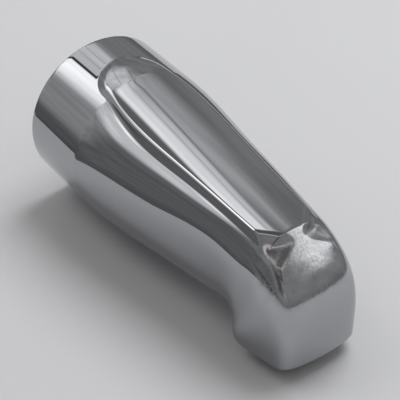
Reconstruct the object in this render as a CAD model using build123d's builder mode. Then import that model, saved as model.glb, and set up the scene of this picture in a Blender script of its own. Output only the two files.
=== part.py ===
"""Bath tub spout: a chromed casting with a turned brass inlet bushing.

Millimetres. The origin is the centre of the wall-end face, +X runs from the wall to the nose along
the supply pipe, and +Z is up. The spout is mirror-symmetric about the plane y = 0.
"""

import os
from math import cos, pi, radians, sin

from build123d import *

# Collar: the round wall end
collar_radius = 32.0
collar_length = 32.0
collar_wall = 2.5
collar_bore_margin = 2.0
collar_bore_depth = collar_length - collar_bore_margin

# Overall
nose_reach = 146.9
outlet_drop = 26.0
wall = 3.0

# Outlet, as seen from below
outlet_back = 119.3
outlet_front_bow = 1.9

# Tongue: the raised strap along the top. A ground slope ends it over the nose.
tongue_back = 16.0
tongue_back_height = 34.2
tongue_front = 128.0
tongue_front_height = 22.3
tongue_crown_radius = 52.0
tongue_back_radius = 14.0
tongue_widest = 46.0
tongue_half_width = 16.4
tongue_front_half_width = 11.5
tongue_front_slope = 46.0
tongue_edge_radius = 3.0
tongue_root = 10.0

# Inside: the partition, the boss that takes the bushing, and the passage through them
partition_face = 104.0
partition_thickness = 3.5
boss_radius = 16.5
boss_length = 20.0
passage_radius = 8.0

# Inlet bushing, with a half inch female pipe thread
bushing_radius = 13.2
bushing_length = 15.0
bushing_hex_across_flats = 28.0
bushing_hex_length = 5.0
pipe_thread_radius = 9.3
thread_lead_in = 1.0

# Skin stations from the collar to the outlet. Each is the section's inner and outer end in the
# plane y = 0, then its half width, how much narrower it is at the outer end than at the inner one,
# the bow of its outer side, and how square it is above and below its middle (2 is an ellipse).
skin_stations = [
    ((collar_length, -collar_radius), (collar_length, collar_radius), collar_radius, 0, 0, 2.0, 2.0),
    ((56.0, -27.2), (56.0, 26.9), 28.1, 0, 0, 2.7, 2.7),
    ((80.0, -24.0), (80.0, 24.6), 23.9, 0, 0, 3.1, 3.1),
    ((104.0, -21.0), (104.0, 22.6), 20.2, 0, 0, 3.6, 3.5),
    ((outlet_back - 4.5, -18.1), (121.0, 21.2), 19.5, 2.3, 0.2, 3.4, 4.3),
    ((outlet_back - 1.5, -19.4), (135.0, 15.6), 19.1, 4.4, outlet_front_bow / 2, 5.3, 8.1),
    ((outlet_back, -23.9), (nose_reach, -4.8), 20.0, 6.0, outlet_front_bow, 7.5, 7.5),
    ((outlet_back, -outlet_drop), (nose_reach - 0.3, -outlet_drop), 19.4, 4.7, outlet_front_bow, 7.8, 7.8),
]
skin_parameters = [0.0, 0.16, 0.32, 0.48, 0.61, 0.76, 0.92, 1.0]
rows_in_collar, rows_along, points_round = 8, 60, 96


def superellipse(angle, squareness):
    """Returns a point of |u|^n + |v|^n = 1 at a polar angle."""
    u, v = cos(angle), sin(angle)
    reach = (abs(u) ** squareness + abs(v) ** squareness) ** (-1 / squareness)
    return u * reach, v * reach


def guide(values):
    """Runs a smooth curve through one value triple for each station."""
    return Edge.make_spline([Vector(*value) for value in values], parameters=skin_parameters)


def skin(inset):
    """Makes the solid inside the skin, inset all round, from the wall end to the outlet."""
    inner = guide([(low[0], 0, low[1]) for low, *_ in skin_stations])
    outer = guide([(high[0], 0, high[1]) for _, high, *_ in skin_stations])
    breadth = guide([station[2:5] for station in skin_stations])
    squareness = guide([(*station[5:], 0) for station in skin_stations])
    rows = [
        [
            Vector(collar_length * i / rows_in_collar, (collar_radius - inset) * cos(angle),
                   (collar_radius - inset) * sin(angle))
            for angle in (2 * pi * k / points_round - pi / 2 for k in range(points_round + 1))
        ]
        for i in range(rows_in_collar)
    ]
    for i in range(rows_along + 1):
        low, high, wide, square = (
            curve.position_at(i / rows_along, PositionMode.PARAMETER)
            for curve in (inner, outer, breadth, squareness)
        )
        middle, reach = (low + high) / 2, (high - low) / 2
        outward = reach.normalized()
        reach -= outward * inset
        row = []
        for k in range(points_round + 1):
            angle = 2 * pi * k / points_round - pi / 2
            u, v = superellipse(angle, square.X if sin(angle) >= 0 else square.Y)
            half_width = wide.X - wide.Y * v / 2 - inset
            bow = wide.Z * u**2 * (1 + v) / 2
            row.append(middle + reach * v - outward * bow + Vector(0, half_width * u, 0))
        rows.append(row)
    side = Face.make_surface_from_array_of_points(rows, tol=0.01, min_deg=1, max_deg=3)
    ends = [Face(Wire([edge])) for edge in side.edges() if edge.is_closed]
    return Solid(Shell([side, *ends]))


with BuildPart() as tongue:
    with BuildSketch(Plane.XY.offset(tongue_root)):
        with BuildLine():
            back_centre = tongue_back + tongue_back_radius
            ThreePointArc(
                (tongue_back, 0),
                (back_centre - tongue_back_radius * cos(pi / 4), tongue_back_radius * sin(pi / 4)),
                (back_centre, tongue_back_radius),
            )
            Spline(
                (back_centre, tongue_back_radius),
                (tongue_widest, tongue_half_width),
                (nose_reach, tongue_front_half_width),
                tangents=[(1, 0), (1, -0.06)],
            )
            Line((nose_reach, tongue_front_half_width), (nose_reach, 0))
            mirror(about=Plane.XZ)
        make_face()
    extrude(amount=tongue_back_height)
    fall = tongue_back_height - tongue_front_height
    run = tongue_front - tongue_back
    crown_start = tongue_back_height + fall * tongue_back / run - tongue_crown_radius
    with BuildSketch(Plane(origin=(0, 0, crown_start), x_dir=(0, 1, 0), z_dir=(run, 0, -fall))):
        Circle(tongue_crown_radius)
    extrude(amount=nose_reach, both=True, mode=Mode.INTERSECT)
    slope = radians(tongue_front_slope)
    front = Plane(origin=(tongue_front, 0, tongue_front_height), z_dir=(sin(slope), 0, cos(slope)))
    split(bisect_by=front, keep=Keep.BOTTOM)
    crown = tongue.faces().sort_by(Axis.Z)[-1]
    fillet(crown.edges(), tongue_edge_radius)

with BuildPart() as hollow:
    with BuildSketch(Plane.YZ):
        Circle(collar_radius - collar_wall)
    extrude(amount=collar_bore_depth)
    add(skin(wall))
    with BuildSketch(Plane.YZ.offset(partition_face)):
        Rectangle(4 * collar_radius, 4 * collar_radius)
    extrude(amount=partition_thickness, mode=Mode.SUBTRACT)
    with BuildSketch(Plane.YZ.offset(partition_face)):
        Circle(boss_radius)
    extrude(amount=-boss_length, mode=Mode.SUBTRACT)

with BuildPart() as spout_body:
    add(skin(0.0))
    add(tongue.part)
    add(hollow.part, mode=Mode.SUBTRACT)
    with BuildSketch(Plane.YZ.offset(partition_face - boss_length)):
        Circle(bushing_radius)
    extrude(amount=bushing_length, mode=Mode.SUBTRACT)
    with BuildSketch(Plane.YZ.offset(partition_face - boss_length)):
        Circle(passage_radius)
    extrude(amount=boss_length + partition_thickness + 1, mode=Mode.SUBTRACT)

with BuildPart() as inlet_bushing:
    mouth = partition_face - boss_length - bushing_hex_length
    with BuildSketch(Plane.YZ.offset(mouth)):
        RegularPolygon(bushing_hex_across_flats / 2, 6, major_radius=False)
    extrude(amount=bushing_hex_length)
    with BuildSketch(Plane.YZ.offset(mouth)):
        Circle(bushing_radius)
    extrude(amount=bushing_hex_length + bushing_length)
    with BuildSketch(Plane.YZ.offset(mouth)):
        Circle(pipe_thread_radius)
    extrude(amount=bushing_hex_length + bushing_length, mode=Mode.SUBTRACT)
    mouth_edge = inlet_bushing.edges().filter_by(GeomType.CIRCLE).sort_by(Axis.X)[0]
    chamfer(mouth_edge, thread_lead_in)

spout_body.part.label = "spout_body"
inlet_bushing.part.label = "inlet_bushing"
os.makedirs("parts", exist_ok=True)
for piece in (spout_body.part, inlet_bushing.part):
    export_step(piece, f"parts/{piece.label}.step")
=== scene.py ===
# %% [markdown]
# # A polished tub spout
#
# The real object is one hollow casting that is ground, polished and chromed outside and left rough
# inside, with a turned brass bushing that screws on to the supply pipe. Polished metal has hardly
# any colour of its own: what we see is its form, read from the way it bends the room around it. So
# this lesson spends its effort on three things: a surface with no flat facets, a room worth
# reflecting, and the small marks that polishing leaves.

# %% Load the frame
import math

import bpy
import numpy as np
from mathutils import Matrix, Vector


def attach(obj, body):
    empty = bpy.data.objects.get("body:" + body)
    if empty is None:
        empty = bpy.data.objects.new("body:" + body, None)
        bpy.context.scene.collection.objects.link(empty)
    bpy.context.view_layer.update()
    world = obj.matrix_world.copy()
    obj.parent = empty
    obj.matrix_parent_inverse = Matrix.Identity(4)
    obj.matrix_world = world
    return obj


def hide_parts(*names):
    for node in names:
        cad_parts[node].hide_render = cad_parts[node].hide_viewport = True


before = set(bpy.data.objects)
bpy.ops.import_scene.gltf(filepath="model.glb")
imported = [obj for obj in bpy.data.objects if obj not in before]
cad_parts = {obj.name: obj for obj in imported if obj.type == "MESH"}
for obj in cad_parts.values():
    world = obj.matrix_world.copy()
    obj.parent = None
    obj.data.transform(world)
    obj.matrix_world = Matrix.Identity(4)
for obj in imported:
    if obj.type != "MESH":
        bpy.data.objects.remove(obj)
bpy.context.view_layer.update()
MM = 0.001
print("frame nodes:", sorted(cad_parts))

# %% [markdown]
# ## Driving sizes
#
# The casting is a round collar that turns into a rounded box section, and the box section then fans
# round a corner to point down. A mesh could be pulled about by hand until it looks right. But eight
# sections with a few numbers each give the same form, and each can be corrected by itself. All
# lengths here are millimetres, as on a maker's drawing. They are turned into metres only where they
# enter a mesh, a material or a place in the scene.

# %% Driving sizes
collar_radius = 32.0
collar_length = 32.0
collar_wall = 2.5
collar_bore_margin = 2.0
collar_bore_depth = collar_length - collar_bore_margin
outlet_back = 119.3
outlet_drop = 26.0
outlet_front_bow = 1.9
nose_reach = 146.9
wall = 3.0

# Inner end and outer end in the plane y = 0, half width, taper, bow, squareness above and below
stations = np.array([
    (collar_length, -collar_radius, collar_length, collar_radius, collar_radius, 0.0, 0.0, 2.0, 2.0),
    (56.0, -27.2, 56.0, 26.9, 28.1, 0.0, 0.0, 2.7, 2.7),
    (80.0, -24.0, 80.0, 24.6, 23.9, 0.0, 0.0, 3.1, 3.1),
    (104.0, -21.0, 104.0, 22.6, 20.2, 0.0, 0.0, 3.6, 3.5),
    (outlet_back - 4.5, -18.1, 121.0, 21.2, 19.5, 2.3, 0.2, 3.4, 4.3),
    (outlet_back - 1.5, -19.4, 135.0, 15.6, 19.1, 4.4, outlet_front_bow / 2, 5.3, 8.1),
    (outlet_back, -23.9, nose_reach, -4.8, 20.0, 6.0, outlet_front_bow, 7.5, 7.5),
    (outlet_back, -outlet_drop, nose_reach - 0.3, -outlet_drop, 19.4, 4.7, outlet_front_bow, 7.8, 7.8),
])

# Where each station lies, from the collar at 0 to the outlet at 1
station_places = np.array([0.0, 0.16, 0.32, 0.48, 0.61, 0.76, 0.92, 1.0])
print("stations:", len(stations), "over", nose_reach, "mm")

# %% [markdown]
# ## A smooth curve through the stations
#
# The pattern is settled at eight stations. Between them everything has to flow, because a polished
# surface shows any jump of curvature. Straight lines between stations would flash as facets. A
# natural cubic spline keeps its second derivative continuous, and with eight stations it needs only
# a small set of equations.

# %% Natural cubic spline
def spline(places, values, at):
    """Natural cubic through values[i] at places[i]; its second derivatives solve a linear system."""
    count, gaps = len(places), np.diff(places)
    system, right = np.eye(count), np.zeros_like(values)
    for i in range(1, count - 1):
        system[i, i - 1:i + 2] = gaps[i - 1], 2 * (gaps[i - 1] + gaps[i]), gaps[i]
        rise, before = values[i + 1] - values[i], values[i] - values[i - 1]
        right[i] = 6 * (rise / gaps[i] - before / gaps[i - 1])
    second = np.linalg.solve(system, right)
    k = np.clip(np.searchsorted(places, at, side="right") - 1, 0, count - 2)
    gap = gaps[k][:, None]
    a = (places[k + 1] - at)[:, None] / gap
    b = 1 - a
    bend = ((a**3 - a) * second[k] + (b**3 - b) * second[k + 1]) * gap**2 / 6
    return a * values[k] + b * values[k + 1] + bend


def body_rows(at):
    """Section values between the collar and the outlet, at the given places from 0 to 1."""
    return spline(station_places, stations, np.asarray(at, float))


def collar_rows(x):
    """Section values of plain circles in the collar, of squareness 2, one for each x."""
    x, one = np.asarray(x, float), np.ones(len(x))
    ends = [x, -collar_radius * one, x, collar_radius * one, collar_radius * one]
    return np.stack(ends + [0 * one, 0 * one, 2 * one, 2 * one], -1)


print("section half way:", body_rows([0.5])[0].round(1))

# %% [markdown]
# ## The raised tongue
#
# A long tongue lies along the top: a shallow crown with a rounded edge, and a ground slope that ends
# it over the nose, with both its front corners cut away. At the back it doesn't end in a wall but
# swells up out of the collar. It could be a piece laid on top, but on the casting it is the same
# metal, and the reflections run on through its foot. So it is a height that the body takes wherever
# it is the higher of the two, and a smooth maximum leaves the small hollow at its foot.

# %% Tongue sizes
tongue_back = 16.0
tongue_back_radius = 14.0
tongue_back_height = 34.1
tongue_front = 128.0
tongue_front_height = 22.3
tongue_crown_radius = 52.0
deck_slope = math.atan2(tongue_back_height - tongue_front_height, tongue_front - tongue_back)
front_slope = math.radians(43)
half_width_places = np.array([30.0, 46.0, 80.0, 118.0, 130.0, 148.0])
half_widths = np.array([[14.0], [15.8], [14.7], [12.4], [12.0], [14.0]])

# Roundings: the hollow at the foot, the crease before the ground slope and the edge
foot_reach = 1.3
crease_reach = 0.35
edge_radius = 1.4
steepest_edge = 0.92

# Back end: the edge is wider and rounder here, and the tongue rises out of the collar
back_edge_radius = 4.0
back_spread = 0.8
back_end_from, back_end_to = 24.0, 44.0
rise_from, rise_to = 13.4, 34.0

# Front end: each corner is cut by a plane, and the tongue sinks under the skin of the nose
corner_cut_from, corner_cut_fade_from, corner_cut_to = 120.5, 129.0, 137.0
corner_cut_rate = 0.95
corner_cut_slope = 0.5
corner_cut_reach = 0.9
sink_from, sink_to = 136.0, 143.0
sink_depth = 2.0
print("tongue:", 2 * half_widths.max(), "mm wide, falling", round(math.degrees(deck_slope), 2), "degrees")

# %% Smooth joins
def smooth_maximum(a, b, reach):
    """The larger of a and b, with a parabola where they differ by less than reach."""
    return np.maximum(a, b) + np.maximum(reach - np.abs(a - b), 0) ** 2 / (4 * reach)


def ease(value, low, high):
    """Goes from 0 at low to 1 at high along 3s^2 - 2s^3, flat at both ends."""
    s = np.clip((value - low) / (high - low), 0, 1)
    return s * s * (3 - 2 * s)


def half_width_at(x):
    """Half width of the tongue in plan at x, held beyond the first and the last place."""
    return spline(half_width_places, half_widths, np.clip(x, half_width_places[0], half_width_places[-1]))


print("half width at the front:", half_width_at([tongue_front])[0].round(2), "mm")

# %% Tongue surface
def reach_to_plane(point, slope, middle, outward):
    """Distance from middle along outward to the plane that falls by slope through point."""
    normal = np.array([math.sin(slope), math.cos(slope)])
    return (normal @ np.array(point) - middle @ normal) / (outward @ normal)


def edge_drop(x, y):
    """Fall of the surface below the tongue's top, from d, the distance inside the outline in plan.

    It is the arc r - sqrt(r^2 - s^2) with s = r - d, carried on straight once that is steep, or the
    plane of a cut corner, slope times (cut width - d), where that is the lower of the two.
    """
    at_back = 1 - ease(x, back_end_from, back_end_to)
    back_centre = tongue_back + tongue_back_radius
    within = np.where(x < back_centre, tongue_back_radius - np.hypot(x - back_centre, y),
                      half_width_at(x[:, 0]) - np.abs(y))
    within = within + back_spread * at_back
    radius = edge_radius + (back_edge_radius - edge_radius) * at_back
    inward = np.clip(radius - within, 0, steepest_edge * radius)
    arc = radius - np.sqrt(radius**2 - inward**2)
    steep_slope = steepest_edge / math.sqrt(1 - steepest_edge**2)
    arc = arc + steep_slope * np.maximum((1 - steepest_edge) * radius - within, 0)
    cut_width = corner_cut_rate * np.maximum(x - corner_cut_from, 0)
    cut_width = cut_width * (1 - ease(x, corner_cut_fade_from, corner_cut_to))
    return smooth_maximum(arc, corner_cut_slope * (cut_width - within), corner_cut_reach)


def tongue_height(x, y, middle, outward, length):
    """The lower of the deck, less its crown y^2/2R, and the ground slope, less the edge's drop."""
    deck = reach_to_plane((tongue_back, tongue_back_height), deck_slope, middle, outward)
    ground = reach_to_plane((tongue_front, tongue_front_height), front_slope, middle, outward)
    top = -smooth_maximum(-deck[:, None] + y**2 / (2 * tongue_crown_radius),
                          -ground[:, None] + 0 * y, crease_reach)
    sunk = ease(x, sink_from, sink_to)[:, None]
    top = top * (1 - sunk) + (length[:, None] - sink_depth) * sunk
    return top - edge_drop(x[:, None], y)


just_inside = half_width_at([tongue_front]) - edge_radius / 2
print("edge drop at the front:", edge_drop(np.array([[tongue_front]]), just_inside).round(2), "mm")

# %% [markdown]
# ## Loops round the casting
#
# The casting is open at both ends: water goes in at the wall end, through the passage and out of
# the nose. So its whole surface, outside and inside, is one grid that closes on itself both ways,
# like a very uneven ring. Each row is a loop round the spout. A sphere-like grid would need poles,
# and separate shells would need seams, and a polished surface shows both. The columns crowd
# together beside the tongue's edge and follow it from row to row, so its highlight runs clean.

# %% Columns
columns = 224
base_edge = math.radians(31)
edge_zone = math.radians(4.5)
edge_spread = math.radians(6)
edge_crowding = 5.5
deck_crowding = 1.2
widest_share = 0.95
fine_steps = 8001


def column_offsets():
    """Angles from the top, -180 to 180 degrees, spaced by a density that peaks at the edges."""
    fine = np.linspace(-math.pi, math.pi, fine_steps)
    from_edge = np.abs(np.abs(fine) - base_edge) / edge_spread
    density = 1 + edge_crowding * np.exp(-from_edge**2) + deck_crowding * (np.abs(fine) < base_edge)
    share = np.concatenate([[0], np.cumsum((density[1:] + density[:-1]) / 2)])
    return np.interp(np.arange(columns) / columns * share[-1], share, fine)


offsets = column_offsets()


def directions(edge):
    """Cosine and sine of each column's angle, moved so that the dense columns meet the edge."""
    size = np.abs(offsets)
    share = np.interp(size, [0, base_edge - edge_zone, base_edge + edge_zone, math.pi / 2], [0, 1, 1, 0])
    angle = offsets[None] + np.sign(offsets)[None] * share[None] * (edge[:, None] - base_edge)
    return np.sin(angle), np.cos(angle)


def edge_angle(rows):
    """Angle from the top at which a section |u|^n + |v|^n = 1 is as wide as the tongue."""
    wide, square = rows[:, 4], rows[:, 7]
    u = np.clip(half_width_at(rows[:, 2])[:, 0] / wide, 0, widest_share)
    return np.arctan2(u, (1 - u**square) ** (1 / square))


print("columns lie", np.degrees(np.diff(offsets).min()).round(2), "to",
      np.degrees(np.diff(offsets).max()).round(2), "degrees apart")

# %% Section loops
tongue_lowest = 0.35
least_reach = 1e-6


def loops(rows, inset=0.0, tongue=False):
    """Superellipses |u|^n + |v|^n = 1 spanned between the inner and the outer end of each row.

    With the tongue, the height above the middle is the smooth maximum of the body's and the
    tongue's, and the tongue's is drawn down to the body's where it hasn't risen yet. The bow b
    then takes b u^2 (1 + v) / 2 off the outer side.
    """
    across, up = directions(edge_angle(rows))
    low, high = rows[:, 0:2], rows[:, 2:4]
    half_width, taper, bow = rows[:, 4:5], rows[:, 5:6], rows[:, 6:7]
    squareness = np.where(up >= 0, rows[:, 7:8], rows[:, 8:9])
    reach = (np.abs(across) ** squareness + np.abs(up) ** squareness) ** (-1 / squareness)
    u, v = across * reach, up * reach
    middle, half = (low + high) / 2, (high - low) / 2
    length = np.linalg.norm(half, axis=1, keepdims=True)
    outward = half / length
    y = (half_width - taper * v / 2 - inset) * u
    height = (length - inset) * v
    if tongue:
        raised = tongue_height(high[:, 0], y, middle, outward, length[:, 0])
        risen = ease(high[:, 0:1], rise_from, rise_to)
        raised = height + (raised - height) * risen
        raised = smooth_maximum(height, raised, foot_reach * risen + least_reach)
        height = np.where(v > tongue_lowest, raised, height)
    height = height - bow * u**2 * (1 + v) / 2
    x = middle[:, 0:1] + outward[:, 0:1] * height
    z = middle[:, 1:2] + outward[:, 1:2] * height
    return np.stack([x, y, z], -1)


def rings(x, radius):
    """Circles round the X axis: x and radius are numbers or arrays, one entry for each circle."""
    x, radius = np.broadcast_arrays(np.atleast_1d(x).astype(float), np.asarray(radius, float))
    across, up = directions(np.repeat(edge_angle(collar_rows([0.0])), len(x)))
    return np.stack([x[:, None] + 0 * up, radius[:, None] * across, radius[:, None] * up], -1)


def between(first, last, shares):
    """Straight lines from each point of one loop to the same point of another."""
    shares = np.asarray(shares)[:, None, None]
    return first[None] * (1 - shares) + last[None] * shares


half_way = loops(body_rows([0.5]), tongue=True)[0]
print("loop half way:", np.ptp(half_way, axis=0).round(1), "mm")

# %% [markdown]
# ## From loops to a closed mesh
#
# Rows of loops become quads by index arithmetic alone: each point joins its neighbours on the next
# column and the next row, and the last row joins the first. The order of the four corners decides
# which way a face points, so the volume that the faces enclose is printed: it has to be positive.

# %% Mesh from a grid that closes both ways
sharp_from = math.radians(38)


def ring_mesh(name, grid, finish_rows, materials):
    """Quads between each row and the next, both ways round; finish_rows has a slot for each row."""
    rows, across = grid.shape[:2]
    index = np.arange(rows * across).reshape(rows, across)
    right, below = np.roll(index, -1, axis=1), np.roll(index, -1, axis=0)
    quads = np.stack([index, right, np.roll(below, -1, axis=1), below], -1).reshape(-1, 4)
    points = grid.reshape(-1, 3) * MM
    a, b, c, d = (points[quads[:, i]] for i in range(4))
    volume = np.einsum("ij,ij->i", a + b + c + d, np.cross(c - a, d - b)).sum() / 24
    if volume < 0:
        quads = quads[:, ::-1].copy()
    mesh = bpy.data.meshes.new(name)
    mesh.vertices.add(len(points))
    mesh.vertices.foreach_set("co", points.ravel())
    mesh.loops.add(quads.size)
    mesh.loops.foreach_set("vertex_index", quads.ravel())
    mesh.polygons.add(len(quads))
    mesh.polygons.foreach_set("loop_start", np.arange(len(quads)) * 4)
    mesh.polygons.foreach_set("loop_total", np.full(len(quads), 4))
    mesh.polygons.foreach_set("material_index", np.repeat(finish_rows, across))
    mesh.update(calc_edges=True)
    mesh.shade_smooth()
    mesh.set_sharp_from_angle(angle=sharp_from)
    for material in materials:
        mesh.materials.append(material)
    piece = bpy.data.objects.new(name, mesh)
    bpy.context.scene.collection.objects.link(piece)
    print(name, "has", len(quads), "quads round", round(abs(volume) * 1e6, 2), "cm3")
    return piece


# %% [markdown]
# ## Marks that polishing leaves
#
# Chrome is a mirror with a little life in it, and turned brass shows its tool. Both need fine
# uneven marks, and so does the rough inside. The marks could be drawn in each material, but one
# node group with its own scale and strength serves all three and is easier to tune.

# %% Node group for fine marks
marks_detail = 5.0
marks_roughness = 0.6
marks_depth = 0.1

# Most values of a noise lie in this span
noise_span = (0.3, 0.7)


def fine_marks_group():
    """Noise at a scale per metre gives a mask, and a bump of the given strength gives a normal."""
    group = bpy.data.node_groups.new("fine marks", "ShaderNodeTree")
    for name, kind in (("Place", "Vector"), ("Scale", "Float"), ("Strength", "Float")):
        group.interface.new_socket(name, in_out="INPUT", socket_type="NodeSocket" + kind)
    for name, kind in (("Mask", "Float"), ("Normal", "Vector")):
        group.interface.new_socket(name, in_out="OUTPUT", socket_type="NodeSocket" + kind)
    source = group.nodes.new("NodeGroupInput")
    sink = group.nodes.new("NodeGroupOutput")
    noise = group.nodes.new("ShaderNodeTexNoise")
    noise.inputs["Detail"].default_value = marks_detail
    noise.inputs["Roughness"].default_value = marks_roughness
    bump = group.nodes.new("ShaderNodeBump")
    bump.inputs["Distance"].default_value = marks_depth * MM
    group.links.new(source.outputs["Place"], noise.inputs["Vector"])
    group.links.new(source.outputs["Scale"], noise.inputs["Scale"])
    group.links.new(source.outputs["Strength"], bump.inputs["Strength"])
    group.links.new(noise.outputs["Fac"], bump.inputs["Height"])
    group.links.new(noise.outputs["Fac"], sink.inputs["Mask"])
    group.links.new(bump.outputs["Normal"], sink.inputs["Normal"])
    return group


fine_marks = fine_marks_group()


def feed(tree, value, socket):
    """Links the input where the value is a socket, and sets it where the value is plain."""
    if isinstance(value, bpy.types.NodeSocket):
        tree.links.new(value, socket)
    else:
        socket.default_value = value


def add_marks(tree, place, scale, strength):
    """Puts the group into a material. The strength may be a number or a socket."""
    node = tree.nodes.new("ShaderNodeGroup")
    node.node_tree = fine_marks
    tree.links.new(place, node.inputs["Place"])
    node.inputs["Scale"].default_value = scale
    feed(tree, strength, node.inputs["Strength"])
    return node.outputs


print("group:", fine_marks.name, "with", len(fine_marks.nodes), "nodes")

# %% [markdown]
# ## Two finishes on one casting
#
# The outside is plated and polished. Over the front of the nose the wheel changed direction and
# left a satin, slightly mottled patch. The inside was never reached by a wheel, so it is dull and
# grainy. A mirror takes its colour from the room, so the base colour is a plain grey. Over the satin
# patch that grey is paler in mottled spots, most toward the top of the nose. This paler tone is a
# painted sheen, standing in for the light that the rough satin scatters, while the patch's roughness
# and grain are the real finish. The patch could be a piece or a slot of its own, but it has no
# border, so it is a mask that grows forward and upward over the nose.

# %% Material helpers
def new_material(name):
    """A material with a Principled shader that is already wired to its output."""
    material = bpy.data.materials.new(name)
    material.use_nodes = True
    tree = material.node_tree
    return material, tree, tree.nodes["Principled BSDF"]


def object_place(tree):
    """The Object coordinates, in metres from the centre of the wall end."""
    return tree.nodes.new("ShaderNodeTexCoord").outputs["Object"]


def three_parts(tree, vector):
    """The X, Y and Z of a vector."""
    parts = tree.nodes.new("ShaderNodeSeparateXYZ")
    tree.links.new(vector, parts.inputs[0])
    return parts.outputs


# %% Sums inside a material
def math_node(tree, operation, *values):
    """A Math node whose inputs may each be a number or a socket. Returns its output."""
    node = tree.nodes.new("ShaderNodeMath")
    node.operation = operation
    for value, socket in zip(values, node.inputs):
        feed(tree, value, socket)
    return node.outputs[0]


def soft_step(tree, value, low, high, to_low=0.0, to_high=1.0):
    """A Map Range node with a smooth step from low to high. Returns its output."""
    node = tree.nodes.new("ShaderNodeMapRange")
    node.interpolation_type = "SMOOTHSTEP"
    tree.links.new(value, node.inputs["Value"])
    for name, number in zip(("From Min", "From Max", "To Min", "To Max"), (low, high, to_low, to_high)):
        node.inputs[name].default_value = number
    return node.outputs["Result"]


def paint_over(tree, mask, below, above):
    """A Mix node that lays one colour over another by a mask. Returns its output."""
    node = tree.nodes.new("ShaderNodeMix")
    node.data_type = "RGBA"
    factor, first, second = node.inputs[0], node.inputs[6], node.inputs[7]
    for value, socket in ((mask, factor), (below, first), (above, second)):
        feed(tree, value, socket)
    return node.outputs[2]


# %% Polished chrome
nose_satin_from, nose_satin_full = 127.5 * MM, 130.0 * MM
nose_satin_low, nose_satin_top = -6.0 * MM, 10.0 * MM
polished_tone = (0.42, 0.427, 0.445, 1)
polished_roughness = 0.035
# The satin patch's paler tone is a painted sheen, for the light that its rough satin scatters
painted_sheen_tone = (0.52, 0.53, 0.54, 1)
satin_roughness = (0.08, 0.22)
satin_grain_scale = 1100.0
satin_grain_strength = 0.22
satin_grain_span = (0.35, 0.65)
mottle_scale = 240.0
mottle_span = (0.2, 0.8)


def polished_chrome():
    """Mirror chrome; a satin patch in front of the crease and above the outlet, paler as a painted sheen.
    """
    material, tree, shader = new_material("polished_chrome")
    place = object_place(tree)
    parts = three_parts(tree, place)
    forward = soft_step(tree, parts["X"], nose_satin_from, nose_satin_full)
    above = soft_step(tree, parts["Z"], nose_satin_low, nose_satin_top)
    patch = math_node(tree, "MULTIPLY", forward, above)
    grain_strength = math_node(tree, "MULTIPLY", patch, satin_grain_strength)
    grain = add_marks(tree, place, satin_grain_scale, grain_strength)
    uneven = soft_step(tree, grain["Mask"], *satin_grain_span, *satin_roughness)
    dulled = math_node(tree, "MULTIPLY", patch, uneven)
    # Paler base colour in mottled spots over the patch, most near its top: a painted sheen
    mottle = add_marks(tree, place, mottle_scale, 0.0)
    painted_sheen_spots = math_node(tree, "MULTIPLY", patch, soft_step(tree, mottle["Mask"], *mottle_span))
    tree.links.new(paint_over(tree, painted_sheen_spots, polished_tone, painted_sheen_tone), shader.inputs["Base Color"])
    tree.links.new(math_node(tree, "ADD", dulled, polished_roughness), shader.inputs["Roughness"])
    tree.links.new(grain["Normal"], shader.inputs["Normal"])
    shader.inputs["Metallic"].default_value = 1.0
    return material


chrome = polished_chrome()
print("finish:", chrome.name, "with", len(chrome.node_tree.nodes), "nodes")

# %% Rough casting
mould_grain_scale = 420.0
mould_grain_strength = 0.8
mould_tones = (0.16, 0.16, 0.165, 1), (0.34, 0.34, 0.345, 1)
mould_roughness = (0.38, 0.6)


def two_tones(tree, mask, first, second, low=0.0, high=1.0):
    """A colour ramp from the first tone, where the mask is low, to the second. Returns its output."""
    node = tree.nodes.new("ShaderNodeValToRGB")
    for element, position, tone in zip(node.color_ramp.elements, (low, high), (first, second)):
        element.position = position
        element.color = tone
    tree.links.new(mask, node.inputs["Fac"])
    return node.outputs["Color"]


def rough_casting():
    """Unpolished metal inside: dull, with the grain of the mould."""
    material, tree, shader = new_material("casting_inside")
    grain = add_marks(tree, object_place(tree), mould_grain_scale, mould_grain_strength)
    tree.links.new(two_tones(tree, grain["Mask"], *mould_tones), shader.inputs["Base Color"])
    uneven = soft_step(tree, grain["Mask"], *noise_span, *mould_roughness)
    tree.links.new(uneven, shader.inputs["Roughness"])
    tree.links.new(grain["Normal"], shader.inputs["Normal"])
    shader.inputs["Metallic"].default_value = 0.9
    return material


inside = rough_casting()
print("finish:", inside.name, "with", len(inside.node_tree.nodes), "nodes")

# %% [markdown]
# ## The casting
#
# Now the loops are listed in the order in which a fingertip would meet them: round the wall end's
# rim, along the collar and the body to the outlet, over the lip, back up the chamber, through the
# passage, over the boss and out along the rear hollow. The lip and the rim are rounded, because a
# ground edge is never sharp, and a thin bright line along an edge is what makes metal look real.

# %% Casting sizes
lip_outer_radius = 1.0
lip_inner_radius = 0.5
rim_radius = 0.5
partition_face = 104.0
partition_thickness = 3.5
boss_radius = 16.5
boss_length = 20.0
boss_edge_radius = 0.6
bushing_radius = 13.2
bushing_length = 15.0
passage_radius = 8.0

# Places along the body, from 0 at the collar to 1 at the outlet. Rows are closest on the slope.
partition_place = 0.48
chamber_place = 0.515
deck_end_place = 0.62
slope_end_place = 0.80
upright_place = 0.95
deck_step, slope_step, rear_step = 0.0025, 0.0035, 0.004

# Steps between rows where two parts of the grid meet, and a quarter turn for a rounded edge
corner_step = 0.1
small_step = 0.01
ledge_step = 0.3
collar_gap = 0.4
rim_gap = 1.0
quarter = np.linspace(0, math.pi / 2, 7)
print("boss from x", partition_face - boss_length, "to", partition_face, "mm")

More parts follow.
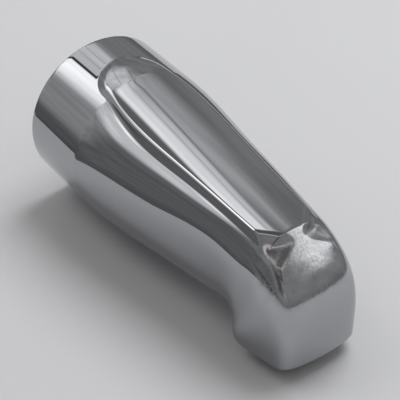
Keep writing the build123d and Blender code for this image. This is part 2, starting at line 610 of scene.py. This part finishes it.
# %% Outlet lip
def outlet_lip():
    """The last section inset and raised: arc r(1 - cos a) by r(1 - sin a), then one up the inside."""
    outer = [(lip_outer_radius * (1 - math.cos(a)), lip_outer_radius * (1 - math.sin(a)))
             for a in quarter]
    inner = [(wall - lip_inner_radius * (1 - math.sin(a)), lip_inner_radius * (1 - math.cos(a)))
             for a in quarter]
    loops_of_lip = np.concatenate([loops(body_rows([1.0]), inset) for inset, rise in outer + inner])
    loops_of_lip[..., 2] += np.array([rise for inset, rise in outer + inner])[:, None]
    return loops_of_lip


lip = outlet_lip()
print("lip rows:", len(lip))

# %% Outer loops
def outer_loops():
    """Rim, collar, body with its tongue, and the outlet with its lip, from the wall end forward."""
    upright = loops(body_rows([upright_place]))[0]
    rim = rings(rim_radius * (1 - np.sin(quarter)), collar_radius - rim_radius * (1 - np.cos(quarter)))
    return [
        rim[::-1],
        loops(collar_rows(np.linspace(2, 13, 6))),
        loops(collar_rows(np.linspace(rise_from, collar_length - collar_gap, 40)), tongue=True),
        loops(body_rows(np.linspace(0, deck_end_place, 110)), tongue=True),
        loops(body_rows(np.linspace(deck_end_place + deck_step, slope_end_place, 74)), tongue=True),
        loops(body_rows(np.linspace(slope_end_place + slope_step, upright_place, 46)), tongue=True),
        between(upright, lip[0], np.linspace(0.05, 0.95, 17)),
        lip,
    ]


outer = outer_loops()
print("outer rows:", sum(len(part) for part in outer))

# %% Hidden loops
def hidden_loops():
    """Nose chamber, passage, the bushing's seat, boss, partition and rear hollow, back to the rim."""
    boss_face = partition_face - boss_length
    seat_end = boss_face + bushing_length
    chamber_face = partition_face + partition_thickness
    bore = collar_radius - collar_wall
    shelf = collar_radius - wall
    upright = loops(body_rows([upright_place]), wall)[0]
    chamber_end = loops(body_rows([chamber_place]), wall)[0]
    passage_end = rings(chamber_face, passage_radius)[0]
    boss_root = rings(partition_face, boss_radius)[0]
    rear_end = loops(body_rows([partition_place]), wall)[0]
    return [
        between(lip[-1], upright, np.linspace(0.05, 0.95, 10)),
        loops(body_rows(np.linspace(upright_place, chamber_place, 26)), wall),
        between(chamber_end, passage_end, np.linspace(0.05, 0.99, 6)),
        rings(np.linspace(chamber_face - corner_step, seat_end, 4), passage_radius),
        rings(seat_end, np.linspace(passage_radius + corner_step, bushing_radius, 3)),
        rings(np.linspace(seat_end - corner_step, boss_face + corner_step, 4), bushing_radius),
        rings(boss_face, np.linspace(bushing_radius + corner_step, boss_radius - boss_edge_radius, 3)),
        rings(boss_face + boss_edge_radius * (1 - np.cos(quarter)),
              boss_radius - boss_edge_radius * (1 - np.sin(quarter))),
        rings(np.linspace(boss_face + rim_gap, partition_face - corner_step, 6), boss_radius),
        between(boss_root, rear_end, np.linspace(0.01, 0.97, 6)),
        loops(body_rows(np.linspace(partition_place - rear_step, 0.0, 22)), wall),
        rings([collar_bore_depth + ledge_step, collar_bore_depth], shelf),
        rings(np.linspace(collar_bore_depth - small_step, rim_gap, 8), bore),
        rings(rim_radius * (1 - np.sin(quarter)), bore + rim_radius * (1 - np.cos(quarter))),
    ]


hidden = hidden_loops()
print("hidden rows:", sum(len(part) for part in hidden))

# %% Casting piece
rough_lip_rows = 2
casting_grid = np.concatenate(outer + hidden)
casting_finish = np.ones(len(casting_grid), int)
casting_finish[:sum(len(part) for part in outer) - rough_lip_rows] = 0
casting = ring_mesh("spout_casting", casting_grid, casting_finish, [chrome, inside])
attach(casting, "root")
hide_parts("spout_body")
print("casting rows:", len(casting_grid))

# %% [markdown]
# ## The brass bushing
#
# The bushing is turned from hexagon bar and screws on to the supply pipe. Its outside could be cut
# from a prism and a cylinder, but the thread inside is a true helix. So again one closed grid does
# all of it: the bore's radius depends on the angle as well as on the place along the bore, and a
# ridge that moves by one pitch for each turn is a helix.

# %% Bushing sizes
hex_across_flats = 28.0
hex_length = 5.0
hex_chamfer = 0.9
hex_chamfer_rise = 0.35
shoulder_step = 0.05
seat_chamfer = 0.4
thread_minor_radius = 9.3
thread_depth = 1.1
threads_per_inch = 14
thread_pitch = 25.4 / threads_per_inch
thread_run_out = 1.6
thread_flank = 2.6
thread_crest = 0.15
bore_rows = 133
bushing_columns = 240
bushing_angles = np.arange(bushing_columns) / bushing_columns * 2 * math.pi
print("thread pitch:", round(thread_pitch, 3), "mm")

# %% Bushing loops
def hexagon_radius():
    """Distance to the hexagon's side: half the flats over the cosine of the angle from a flat."""
    from_flat = (bushing_angles + math.pi / 6) % (math.pi / 3) - math.pi / 6
    return hex_across_flats / 2 / np.cos(from_flat)


def thread_radius(x, mouth):
    """Minor radius plus the depth times a trapezium wave of x over the pitch less turns."""
    turns = x[:, None] / thread_pitch - bushing_angles[None] / (2 * math.pi)
    wave = np.clip(thread_flank * np.abs(turns % 1 - 0.5) - thread_crest, 0, 1)
    full = ease(x - mouth, 0, thread_run_out)[:, None]
    return thread_minor_radius + thread_depth * (wave * full + 1 - full)


def bushing_loops():
    """Chamfered hexagon, plain seat, end face, and the threaded bore back to the mouth."""
    mouth = partition_face - boss_length - hex_length
    shoulder, end = mouth + hex_length, mouth + hex_length + bushing_length
    corner = hexagon_radius()
    start = np.minimum(corner, hex_across_flats / 2 + hex_chamfer_rise)
    seat = bushing_radius + 0 * corner
    outside = [(mouth, start), (mouth + hex_chamfer, corner), (shoulder - shoulder_step, corner),
               (shoulder, seat), (shoulder + shoulder_step, seat), (end - seat_chamfer, seat),
               (end, seat - seat_chamfer)]
    bore_x = np.linspace(end, mouth, bore_rows)
    bore = thread_radius(bore_x, mouth)
    x = np.concatenate([[place for place, radius in outside], bore_x])[:, None] + 0 * corner
    radius = np.concatenate([[radius for place, radius in outside], bore])
    return np.stack([x, radius * np.sin(bushing_angles), radius * np.cos(bushing_angles)], -1)


bushing_grid = bushing_loops()
print("bushing rows:", len(bushing_grid))

# %% [markdown]
# ## Turned brass
#
# A lathe tool leaves fine rings round the axis, and handling leaves a slow change from bright to
# brown. The rings could be cut into the mesh, but they are far finer than its rows. So they are the
# same fine marks with the place squeezed across the axis: the noise then hardly changes round the
# bushing and changes fast along it.

# %% Brass
tool_ring_scale = 2500.0
tool_ring_strength = 0.25
across_axis = 0.04
tarnish_scale = 160.0
brass_tones = (0.46, 0.30, 0.11, 1), (0.72, 0.53, 0.24, 1)
brass_roughness = (0.2, 0.36)


def turned_brass():
    """Machined brass: tool rings round the X axis, and a tarnish that varies slowly."""
    material, tree, shader = new_material("turned_brass")
    place = object_place(tree)
    squeezed = tree.nodes.new("ShaderNodeVectorMath")
    squeezed.operation = "MULTIPLY"
    squeezed.inputs[1].default_value = (1.0, across_axis, across_axis)
    tree.links.new(place, squeezed.inputs[0])
    marks = add_marks(tree, squeezed.outputs[0], tool_ring_scale, tool_ring_strength)
    tarnish = add_marks(tree, place, tarnish_scale, 0.0)
    colour = two_tones(tree, tarnish["Mask"], *brass_tones, *noise_span)
    uneven = soft_step(tree, marks["Mask"], *noise_span, *brass_roughness)
    tree.links.new(colour, shader.inputs["Base Color"])
    tree.links.new(uneven, shader.inputs["Roughness"])
    tree.links.new(marks["Normal"], shader.inputs["Normal"])
    shader.inputs["Metallic"].default_value = 1.0
    return material


brass = turned_brass()
bushing = ring_mesh("threaded_bushing", bushing_grid, np.zeros(len(bushing_grid), int), [brass])
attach(bushing, "root")
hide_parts("inlet_bushing")

# %% [markdown]
# ## A small table
#
# The spout was photographed on a pale table, and the edge of that table is the long line that runs
# along its side: pale below it, dark room above. An endless floor would put that line too high. So
# the floor is a table top, pale and plain. Its corners were worked out from where that line lies on
# the metal, and its near edge comes as close to the spout as it can without entering the picture.

# %% Table
table_gap = 0.1
table_height = -(collar_radius + table_gap)
table_corners = [(-400.0, -190.0), (-20.0, -112.0), (34.0, -93.0), (88.0, -104.0), (390.0, -1500.0),
                 (1500.0, -1500.0), (450.0, 330.0), (-400.0, 330.0)]
table_tones = (0.60, 0.605, 0.62, 1), (0.64, 0.645, 0.66, 1)
table_cloud_scale = 6.0
table_roughness = 0.9
table_sheen = 0.2


def pale_table():
    """Matt pale grey board with a faint cloudiness."""
    material, tree, shader = new_material("pale_table")
    cloud = tree.nodes.new("ShaderNodeTexNoise")
    cloud.inputs["Scale"].default_value = table_cloud_scale
    tree.links.new(object_place(tree), cloud.inputs["Vector"])
    tree.links.new(two_tones(tree, cloud.outputs["Fac"], *table_tones), shader.inputs["Base Color"])
    shader.inputs["Roughness"].default_value = table_roughness
    shader.inputs["Specular IOR Level"].default_value = table_sheen
    return material


table_mesh = bpy.data.meshes.new("table_top")
table_points = [(x * MM, y * MM, table_height * MM) for x, y in table_corners]
table_mesh.from_pydata(table_points, [], [list(range(len(table_corners)))])
table_mesh.materials.append(pale_table())
table = bpy.data.objects.new("table_top", table_mesh)
bpy.context.scene.collection.objects.link(table)
print("table at", table_height, "mm")

# %% [markdown]
# ## The room that the chrome shows
#
# A mirror finish shows the room, so the room is half of the material. Area lamps could stand round
# the object, but each would also light the table in its own way, and their edges would need aiming
# one by one. A world shader that is built from soft boxes by direction, azimuth and elevation in
# degrees, says the same thing in one list that is easy to read and to change. A box covers those
# that come before it in the list, as a window frame covers a window.

# %% Soft box node group
def soft_box_group():
    """One inside a box of azimuth and elevation, falling to nought over the given blur."""
    group = bpy.data.node_groups.new("soft box", "ShaderNodeTree")
    inputs = ("Azimuth", "Elevation", "Centre", "Height", "Half Width", "Half Height", "Blur")
    for name in inputs:
        group.interface.new_socket(name, in_out="INPUT", socket_type="NodeSocketFloat")
    group.interface.new_socket("Mask", in_out="OUTPUT", socket_type="NodeSocketFloat")
    source = group.nodes.new("NodeGroupInput").outputs
    sink = group.nodes.new("NodeGroupOutput")
    turn = math_node(group, "SUBTRACT", source["Azimuth"], source["Centre"])
    aside = math_node(group, "ABSOLUTE", math_node(group, "WRAP", turn, 180.0, -180.0))
    rise = math_node(group, "SUBTRACT", source["Elevation"], source["Height"])
    above = math_node(group, "ABSOLUTE", rise)
    masks = []
    for distance, half in ((aside, source["Half Width"]), (above, source["Half Height"])):
        left = math_node(group, "DIVIDE", math_node(group, "SUBTRACT", half, distance), source["Blur"])
        masks.append(soft_step(group, left, -0.5, 0.5))
    group.links.new(math_node(group, "MULTIPLY", *masks), sink.inputs["Mask"])
    return group


soft_box = soft_box_group()
print("group:", soft_box.name, "with", len(soft_box.nodes), "nodes")

# %% Room
soft_boxes = [
    # name, azimuth, elevation, half width, half height, blur (all degrees), radiance, warmth
    ("ceiling", 0.0, 84.0, 200.0, 14.0, 8.0, 0.16, 0.05),
    ("near side wall", -98.0, 12.0, 30.0, 30.0, 8.0, 0.20, 0.0),
    ("line above the table", -90.0, -4.0, 16.0, 4.0, 4.0, 0.08, 0.1),
    ("grey of the left wall", -142.0, 18.0, 10.0, 16.0, 10.0, 0.45, 0.0),
    ("light of the left wall", -138.0, 44.0, 11.0, 10.0, 9.0, 1.15, 0.0),
    ("left window", -163.0, 39.0, 13.0, 9.0, 11.0, 2.0, 0.0),
    ("rear wall", 168.0, 42.0, 17.0, 10.0, 9.0, 1.05, 0.0),
    ("rear wall, far end", 143.0, 46.0, 9.0, 8.0, 9.0, 0.66, 0.0),
    ("rear window, far pane", 155.0, 57.0, 7.0, 7.0, 6.0, 1.05, 0.0),
    ("rear window", 162.0, 60.0, 6.5, 7.5, 6.0, 1.7, 0.0),
    ("window bar", 146.5, 52.0, 1.0, 7.0, 1.6, 0.40, 0.0),
    ("window bar, far", 153.5, 56.0, 0.5, 6.0, 1.2, 0.8, 0.0),
    ("first wall joint", 172.5, 43.0, 0.6, 9.0, 1.0, 0.75, 0.0),
    ("second wall joint", 162.5, 41.0, 0.6, 9.0, 1.0, 0.70, 0.0),
    ("third wall joint", 150.7, 36.0, 0.6, 7.0, 1.0, 0.42, 0.0),
    ("dark corner, lower", -174.0, 43.0, 2.0, 9.0, 2.0, 0.06, 0.0),
    ("dark corner, upper", 176.5, 60.0, 6.0, 9.0, 4.0, 0.20, 0.0),
    ("left skylight", -149.0, 59.0, 18.0, 6.5, 4.0, 2.8, 0.05),
    ("brown beam", -132.0, 70.0, 8.0, 4.0, 5.0, 0.45, 0.2),
    ("front skylight", -72.0, 67.0, 46.0, 3.0, 3.0, 0.8, 0.08),
    ("pale beam in front", 2.0, 56.0, 22.0, 5.0, 6.0, 0.75, 0.0),
    ("dark door", -44.0, 38.0, 12.0, 20.0, 6.0, 0.10, 0.15),
    ("lamp by the door", -28.0, 17.0, 5.0, 4.0, 5.0, 0.55, 0.0),
    ("right window", 57.0, 38.0, 21.0, 8.5, 7.0, 1.5, 0.0),
    ("wall by the right window", 84.0, 24.0, 9.0, 9.0, 10.0, 0.68, 0.0),
]
room_dark, room_grey = 0.14, 0.31
horizon = (-10.0, 10.0)
clutter_scale = 9.0
clutter_detail = 5.0
clutter_range = (0.85, 1.15)
blue_loss = 1.25


def warmed(radiance, warmth):
    """The colour r, r (1 - w), r (1 - 1.25 w) for a radiance r and a warmth w."""
    return radiance, radiance * (1 - warmth), radiance * (1 - blue_loss * warmth), 1


def in_degrees(tree, angle):
    """An angle in radians, times 180 over pi."""
    return math_node(tree, "MULTIPLY", angle, 180 / math.pi)


def build_room():
    """Dark below the horizon and grey above, each soft box painted over, all times a faint noise."""
    world = bpy.data.worlds.new("room")
    bpy.context.scene.world = world
    world.use_nodes = True
    tree = world.node_tree
    direction = tree.nodes.new("ShaderNodeTexCoord").outputs["Generated"]
    parts = three_parts(tree, direction)
    azimuth = in_degrees(tree, math_node(tree, "ARCTAN2", parts["Y"], parts["X"]))
    elevation = in_degrees(tree, math_node(tree, "ARCSINE", parts["Z"]))
    colour = soft_step(tree, elevation, *horizon, room_dark, room_grey)
    for name, centre, height, half_width, half_height, blur, radiance, warmth in soft_boxes:
        node = tree.nodes.new("ShaderNodeGroup")
        node.node_tree = soft_box
        node.label = name
        values = {"Azimuth": azimuth, "Elevation": elevation, "Centre": centre, "Height": height,
                  "Half Width": half_width, "Half Height": half_height, "Blur": blur}
        for socket, value in values.items():
            feed(tree, value, node.inputs[socket])
        colour = paint_over(tree, node.outputs["Mask"], colour, warmed(radiance, warmth))
    clutter = tree.nodes.new("ShaderNodeTexNoise")
    clutter.inputs["Scale"].default_value = clutter_scale
    clutter.inputs["Detail"].default_value = clutter_detail
    tree.links.new(direction, clutter.inputs["Vector"])
    uneven = tree.nodes.new("ShaderNodeVectorMath")
    uneven.operation = "SCALE"
    tree.links.new(colour, uneven.inputs[0])
    spots = soft_step(tree, clutter.outputs["Fac"], *noise_span, *clutter_range)
    tree.links.new(spots, uneven.inputs["Scale"])
    background = tree.nodes["Background"]
    tree.links.new(uneven.outputs[0], background.inputs["Color"])
    background.inputs["Strength"].default_value = 1.0


build_room()
print("soft boxes:", len(soft_boxes))

# %% [markdown]
# ## Lamp and camera
#
# The table still needs plain light from above. The room could be made brighter for it, but then the
# chrome would pale too. So one broad lamp gives that light and stays out of the mirror, and the
# reflections come from the room alone. The camera stands where the photograph was taken from,
# worked out from the wall end's circle and the length of the spout.

# %% Lamp
lamp_place = Vector((-50.0, 650.0, 1250.0)) * MM
lamp_aim = Vector((80.0, 0.0, 0.0)) * MM
lamp_width = 900.0
lamp_data = bpy.data.lights.new("overhead", "AREA")
lamp_data.shape = "DISK"
lamp_data.size = lamp_width * MM
lamp_data.energy = 13.0
lamp = bpy.data.objects.new("overhead", lamp_data)
lamp.location = lamp_place
lamp.rotation_euler = (lamp_aim - lamp_place).to_track_quat("-Z", "Y").to_euler()
lamp.visible_glossy = False
bpy.context.scene.collection.objects.link(lamp)
print("lamp:", lamp_data.energy, "W over", round(lamp_data.size, 2), "m")

# %% Camera
camera_place = np.array([430.8, -243.6, 357.5]) * MM
camera_aim = np.array([93.1, -14.9, 19.1]) * MM
camera_roll = math.radians(-1.95)
focal_length_pixels = 1481.4
picture_width_pixels = 400
camera_data = bpy.data.cameras.new("camera")
camera_data.sensor_width = 36.0
camera_data.lens = focal_length_pixels / picture_width_pixels * camera_data.sensor_width
camera_data.clip_start = 0.01
camera = bpy.data.objects.new("camera", camera_data)
look = Vector(camera_aim - camera_place).to_track_quat("-Z", "Y")
camera.matrix_world = Matrix.Translation(camera_place) @ (
    look.to_matrix().to_4x4() @ Matrix.Rotation(camera_roll, 4, "Z"))
bpy.context.scene.collection.objects.link(camera)
bpy.context.scene.camera = camera
print("camera right:", np.array(camera.matrix_world)[:3, 0].round(4))

# %% [markdown]
# ## Close
#
# The looks stay inside the imported part's box. The colours pass through the Standard view transform.

# %% Finish
bpy.context.scene.view_settings.view_transform = "Standard"
